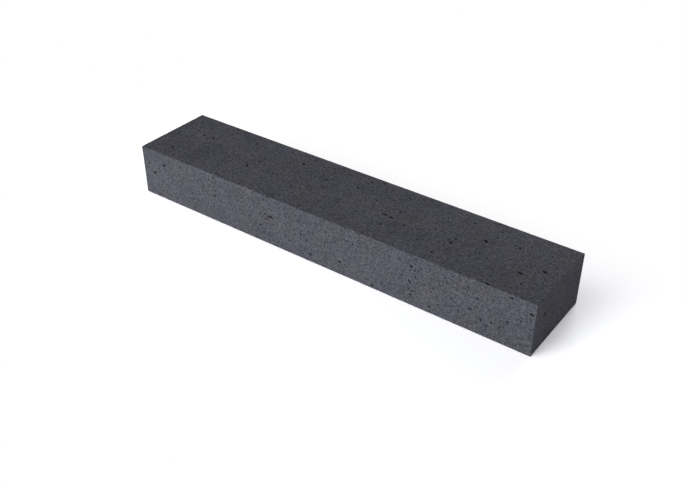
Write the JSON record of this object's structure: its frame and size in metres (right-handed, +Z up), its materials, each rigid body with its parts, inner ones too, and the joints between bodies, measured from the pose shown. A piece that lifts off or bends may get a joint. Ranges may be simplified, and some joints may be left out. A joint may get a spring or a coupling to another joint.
{
  "type": "concrete stacking block",
  "caption": "Solid rectangular concrete block in dark anthracite grey with a pitted cast skin, stacked dry or glued in courses as low garden walls, steps and edging.",
  "frame": {"origin": "centre of the bottom bed face, on the surface that the block lies on", "axes": "+X along the length, +Y across the width from the front face to the back face, +Z up through the course height"},
  "size_m": [1, 0.2, 0.12],
  "materials": {
    "concrete": "matte"
  },
  "bodies": {
    "root": {"concrete_block": "concrete"}
  },
  "joints": []
}
